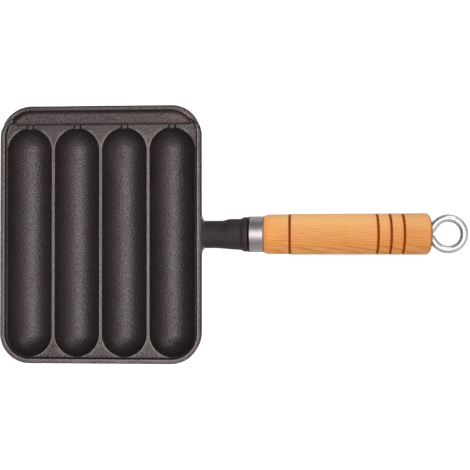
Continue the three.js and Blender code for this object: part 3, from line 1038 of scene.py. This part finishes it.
# %% Wood finish
WOOD_PALE = rgb(221, 160, 95)
WOOD_MIDDLE = rgb(205, 135, 70)
WOOD_DEEP = rgb(193, 117, 53)
# Painted light: paler wood for the far side, as if lit from behind
WOOD_BACK_LIGHT = rgb(243, 190, 128)
WOOD_WARM = rgb(236, 152, 66)
WOOD_END = rgb(122, 62, 22)
GRAIN_TURN = (0.5, 0.0, math.radians(3.5))
GRAIN_STRETCH = (0.035, 1.0, 1.0)
LAYER_PITCH = 1.3
LAYER_DRIFT = 2.2
LAYER_RISE = (0.30, 0.90)
LAYER_FALL = (1.0, 0.90)
DRIFT_PITCH = 5.0
FIBRE_PITCH = 0.8
FIBRE_RANGE = (0.35, 0.65)
FLECK_PITCH = 0.25
FLECK_RANGE = (0.62, 0.74)
# The far side is painted paler as painted light, and the near side darker as painted shade
BACK_LIGHT_SIDE = (-2.0, 12.0)
SHADED_FRONT_SIDE = (-3.0, -12.0)
DEEP_BACK = (105.0, 150.0)
WARM_FRONT = (62.0, 43.0)
END_FACE = (157.2, 159.0)
# Painted shade: the edge of the end face is darker than its middle
END_EDGE_SHADE = (8.0, 12.0)

wood_finish, tree, shader = new_finish("lacquered_wood")
place = use_group(tree, place_group)
grain = add_node(tree, "ShaderNodeMapping", {"Vector": place["Point"], "Rotation": GRAIN_TURN}).outputs[0]
drawn_out = add_node(tree, "ShaderNodeMapping", {"Vector": grain, "Scale": GRAIN_STRETCH}).outputs[0]
drift = noise(tree, drawn_out, DRIFT_PITCH)
_, grain_across, _ = parts(tree, drawn_out)
layers = add_math("FRACT", (grain_across + (drift - 0.5) * LAYER_DRIFT) / LAYER_PITCH)
layer_line = ramp(layers, *LAYER_RISE) * ramp(layers, *LAYER_FALL)
fibres = noise(tree, drawn_out, FIBRE_PITCH, detail=3.0, roughness=0.6, offset=13.0)
flecks = noise(tree, drawn_out, FLECK_PITCH, detail=1.0, offset=37.0)
broad = use_group(tree, tone_group, {"Patch size": 22.0, "Contrast": 1.5, "Offset": 19.0})["Tone"]
_, handle_across, _ = parts(tree, place["Point"])
# painted light: the far side is painted paler
back_side_light = ramp(handle_across, *BACK_LIGHT_SIDE)
# painted shade towards the edge of the end face
end_edge_shade = ramp(place["Spoke"], *END_EDGE_SHADE)
colour = mix_colour(tree, broad * 0.4 + ramp(fibres, *FIBRE_RANGE) * 0.6, WOOD_PALE, WOOD_MIDDLE)
colour = paint_over(tree, colour, [
    # painted light on the far side
    (back_side_light * 0.95, WOOD_BACK_LIGHT),
    # painted shade on the near side
    (ramp(handle_across, *SHADED_FRONT_SIDE) * 0.1, WOOD_DEEP),
    # the layer lines fade where the far side is painted lit
    (layer_line * (0.85 - back_side_light * 0.4), WOOD_DEEP),
    (ramp(flecks, *FLECK_RANGE) * 0.35, WOOD_DEEP),
    (ramp(place["Along"], *DEEP_BACK) * 0.25, WOOD_DEEP),
    (ramp(place["Along"], *WARM_FRONT) * 0.4, WOOD_WARM),
    # darker end grain, darker still at the edge as painted shade
    (ramp(place["Along"], *END_FACE) * (0.45 + end_edge_shade * 0.4), WOOD_END),
])
print("growth layers", LAYER_PITCH, "mm apart")

# %% Burnt grooves and lacquer
GROOVES = (62.5, 123.0, 131.8, 140.6)
GROOVE_HALF = 0.9
SCORCH_REACH = (2.2, 0.9)
BURNT_EDGE = (GROOVE_HALF + 0.12, GROOVE_HALF - 0.2)
WOOD_SCORCHED = rgb(176, 90, 30)
WOOD_BURNT = rgb(140, 46, 0)
WOOD_ROUGHNESS = 0.46
WOOD_GLOSS = 0.10
WOOD_BUMP = 0.03
WOOD_SHEEN = (1.0, 0.72, 0.42, 1.0)
LACQUER = 0.12

gaps = [abs(place["Along"] - groove) for groove in GROOVES]
from_groove = gaps[0]
for gap in gaps[1:]:
    from_groove = low(from_groove, gap)
scorch = ramp(from_groove + (fibres - 0.5) * 0.5, *SCORCH_REACH)
burnt = ramp(from_groove, *BURNT_EDGE)
colour = paint_over(tree, colour, [(scorch * 0.16, WOOD_SCORCHED), (burnt, WOOD_BURNT)])
connect(colour, shader.inputs["Base Color"])
turning = use_group(tree, mark_group, {"Pitch": 0.5})["Height"]
connect(WOOD_ROUGHNESS + (fibres - 0.5) * 0.14 + burnt * 0.45, shader.inputs["Roughness"])
wood_height = fibres * 0.7 + turning * 0.3 - layer_line * 0.3
connect(add_bump(tree, wood_height, WOOD_BUMP), shader.inputs["Normal"])
shader.inputs["Specular IOR Level"].default_value = WOOD_GLOSS
connect(LACQUER - burnt * LACQUER, shader.inputs["Coat Weight"])
shader.inputs["Coat Roughness"].default_value = 0.40
shader.inputs["Sheen Weight"].default_value = 0.20
shader.inputs["Sheen Tint"].default_value = WOOD_SHEEN
shader.inputs["Sheen Roughness"].default_value = 0.4
print("finish", wood_finish.name, "with", len(tree.nodes), "nodes")

# %% Grip
GRIP_SHOULDER = 44.2
GRIP_END = 160.0
FRONT_RADIUS = 14.25
BODY_RADIUS = 14.55
GROOVE_DEPTH = 0.5
SPIGOT_START = 34.4
SPIGOT_RADIUS = 11.5
SHOULDER_RADIUS = 12.5
FRONT_ROUND = (1.65, 6.5)
END_ROUND = (3.3, 6.2)
EYE_APEX = 158.89
LEG_ANGLE = math.radians(54)
SEAT_OFFSET = 2.9

seat_tip = EYE_APEX - SEAT_OFFSET / math.sin(LEG_ANGLE)
seat_slope = math.tan(LEG_ANGLE)


def grip_radius(along):
    return FRONT_RADIUS if along < GROOVES[0] else BODY_RADIUS


corners = [
    (BORE_RADIUS, SPIGOT_START, 0.3, 0.3),
    (SPIGOT_RADIUS, SPIGOT_START, 0.8, 0.8),
    (SPIGOT_RADIUS, GRIP_SHOULDER, 0.2, 0.2),
    (SHOULDER_RADIUS, GRIP_SHOULDER, 0.3, 0.3),
    (FRONT_RADIUS, GRIP_SHOULDER, *FRONT_ROUND),
]
for groove in GROOVES:
    front = groove - GROOVE_HALF
    back = groove + GROOVE_HALF
    corners += [
        (grip_radius(front), front, 0.15, 0.15),
        (grip_radius(groove) - GROOVE_DEPTH, groove, 0.7, 0.7),
        (grip_radius(back), back, 0.15, 0.15),
    ]
corners += [
    (BODY_RADIUS, GRIP_END, *END_ROUND),
    ((GRIP_END - seat_tip) * seat_slope, GRIP_END, 0.4, 0.4),
    (BORE_RADIUS, seat_tip + BORE_RADIUS / seat_slope, 0.3, 0.3),
]
grip = turned("turned_grip", rounded(corners), wood_finish)
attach(grip, "handle")
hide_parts("wooden_grip")
print("grip", triangle_count(grip.data), "triangles")

# %% [markdown]
# ## The rod and its eye
# One chromed wire, satin rather than a mirror. The maker feeds it straight, bends it, feeds it on, rolls the
# loop and stops just short of the rod. A curve drawn point by point would hide that, so the tree works as a
# wire bender does: it walks along the wire in small steps, a rule says which way the wire heads after each
# length, and Accumulate Field adds the steps up to a path. The front end carries a screw thread, pressed into
# the swept tube by moving its points.

# %% Chrome finish
CHROME_DARK = rgb(190, 190, 190)
CHROME_LIGHT = rgb(206, 206, 206)
CHROME_PIT = rgb(120, 112, 106)
CHROME_TINT = rgb(188, 188, 188)
CHROME_ROUGHNESS = 0.38
CHROME_BUMP = 0.05

chrome_finish, tree, shader = new_finish("bright_chrome")
smudge = use_group(tree, tone_group, {"Patch size": 6.0, "Contrast": 1.6, "Offset": 5.0})["Tone"]
pits = use_group(tree, pit_group, {"Grain": 0.5, "Sparse": 0.5})
ripple = use_group(tree, tone_group, {"Patch size": 2.6, "Contrast": 1.0, "Offset": 43.0})["Tone"]
colour = mix_colour(tree, smudge, CHROME_DARK, CHROME_LIGHT)
connect(mix_colour(tree, pits["Pit"] * 0.5, colour, CHROME_PIT), shader.inputs["Base Color"])
connect(CHROME_ROUGHNESS + smudge * 0.08 + pits["Pit"] * 0.2, shader.inputs["Roughness"])
connect(add_bump(tree, ripple, CHROME_BUMP), shader.inputs["Normal"])
shader.inputs["Specular Tint"].default_value = CHROME_TINT
shader.inputs["Metallic"].default_value = 1.0
print("finish", chrome_finish.name, "with", len(tree.nodes), "nodes")

# %% Path of the wire
WIRE_SIZES = {
    "Wire diameter": 5.3,
    "Rod start": 24.2,
    "Eye apex": EYE_APEX,
    "Loop radius": 10.97,
    "Leg angle": LEG_ANGLE,
    "Bend radius": 4.0,
    "End gap": 2.4,
    "Thread length": 11.2,
    "Thread pitch": 0.8,
    "Thread depth": 0.45,
    "Thread chamfer": 0.6,
    "Fine step": 0.07,
    "Coarse step": 0.6,
}

wire_tree, w, wire_end = new_group(
    "bent_wire", "GeometryNodeTree", {"Geometry": None, **WIRE_SIZES}, {"Geometry": None}
)
bend_reach = w.bend_radius * add_math("TANGENT", w.leg_angle * 0.5)
leg = w.loop_radius / add_math("TANGENT", w.leg_angle)
loop_turn = w.leg_angle * 2.0 + math.pi
bend_start = w.eye_apex - w.rod_start - bend_reach
bend_end = bend_start + w.bend_radius * w.leg_angle
loop_start = bend_end + leg - bend_reach
loop_end = loop_start + w.loop_radius * loop_turn
wire_length = loop_end + leg - w.end_gap
print("wire", WIRE_SIZES["Wire diameter"], "mm thick")

# %% Walk along the wire
def running_total(tree, value, kind="FLOAT"):
    """The sum of a field over all earlier points."""
    node = add_node(tree, "GeometryNodeAccumulateField", data_type=kind)
    connect(value, node.inputs["Value"])
    return node.outputs["Trailing"]


fine_count = add_math("ROUND", w.thread_length / w.fine_step)
coarse_count = add_math("ROUND", (wire_length - w.thread_length) / w.coarse_step)
fine = w.thread_length / fine_count
coarse = (wire_length - w.thread_length) / coarse_count
index = Field(wire_tree, add_node(wire_tree, "GeometryNodeInputIndex").outputs[0])
is_coarse = add_math("GREATER_THAN", index + 0.5, fine_count)
step = blend(is_coarse, fine, coarse)
reached = Field(wire_tree, running_total(wire_tree, step)) + step * 0.5
heading = w.leg_angle * ramp(reached, bend_start, bend_end, "LINEAR")
heading = heading - loop_turn * ramp(reached, loop_start, loop_end, "LINEAR")
stride = [step * add_math("COSINE", heading), step * add_math("SINE", heading)]
stride = add_node(wire_tree, "ShaderNodeCombineXYZ", enumerate(stride)).outputs[0]
walked = running_total(wire_tree, stride, "FLOAT_VECTOR")
start = add_node(wire_tree, "ShaderNodeCombineXYZ", {0: w.rod_start}).outputs[0]
point = add_node(wire_tree, "ShaderNodeVectorMath", {0: walked, 1: start}).outputs[0]
line = add_node(wire_tree, "GeometryNodeMeshLine", {"Count": fine_count + coarse_count + 1.0})
line = add_node(wire_tree, "GeometryNodeSetPosition", {"Geometry": line.outputs[0], "Position": point})
line = add_node(wire_tree, "GeometryNodeMeshToCurve", {"Mesh": line.outputs[0]})
print("steps of", WIRE_SIZES["Fine step"], "mm on the thread and", WIRE_SIZES["Coarse step"], "mm beyond it")

# %% Tube and thread
WIRE_SIDES = 48
THREAD_FLANK = (0.125, 0.75)
THREAD_RUN_OUT = 2.0
LEAST_SPOKE = 0.1

section = {"Resolution": WIRE_SIDES, "Radius": w.wire_diameter * 0.5}
section = add_node(wire_tree, "GeometryNodeCurvePrimitiveCircle", section, mode="RADIUS")
tube = {"Curve": line.outputs[0], "Profile Curve": section.outputs[0], "Fill Caps": True}
tube = add_node(wire_tree, "GeometryNodeCurveToMesh", tube).outputs[0]

here = add_node(wire_tree, "GeometryNodeInputPosition").outputs[0]
x, y, z = parts(wire_tree, here)
from_start = x - w.rod_start
turn = add_math("ARCTAN2", z, y) / (2 * math.pi)
from_crest = abs(add_math("FRACT", x / w.thread_pitch - turn) - 0.5) * 2.0
run_out = ramp(from_start, w.thread_length, w.thread_length - THREAD_RUN_OUT)
cut = ramp(from_crest, *THREAD_FLANK, "LINEAR") * run_out
threaded = w.wire_diameter * 0.5 - w.thread_depth * cut
threaded = low(threaded, w.wire_diameter * 0.5 - w.thread_chamfer + high(from_start, 0.0))
spoke = high(length(y, z), LEAST_SPOKE)
squeeze = (threaded / spoke - 1.0) * add_math("LESS_THAN", from_start, w.thread_length)
offset = add_node(wire_tree, "ShaderNodeCombineXYZ", {1: y * squeeze, 2: z * squeeze}).outputs[0]
tube = add_node(wire_tree, "GeometryNodeSetPosition", {"Geometry": tube, "Offset": offset}).outputs[0]
give_finish(tube, chrome_finish, wire_end)
print("the wire's tree has", len(wire_tree.nodes), "nodes")

# %% Make the rod
rod = new_holder("hanging_eye")
rod.modifiers.new("bend", "NODES").node_group = wire_tree
rod_mesh = apply_modifiers(rod)
rod_mesh.name = rod.name
rod_mesh.transform(HANDLE_TO_FRAME)
rod_mesh.shade_smooth()
rod_mesh.set_sharp_from_angle(angle=SHARP_ANGLE)
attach(rod, "eye")
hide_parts("hanging_eye_rod")
print("rod and eye", triangle_count(rod_mesh), "triangles")
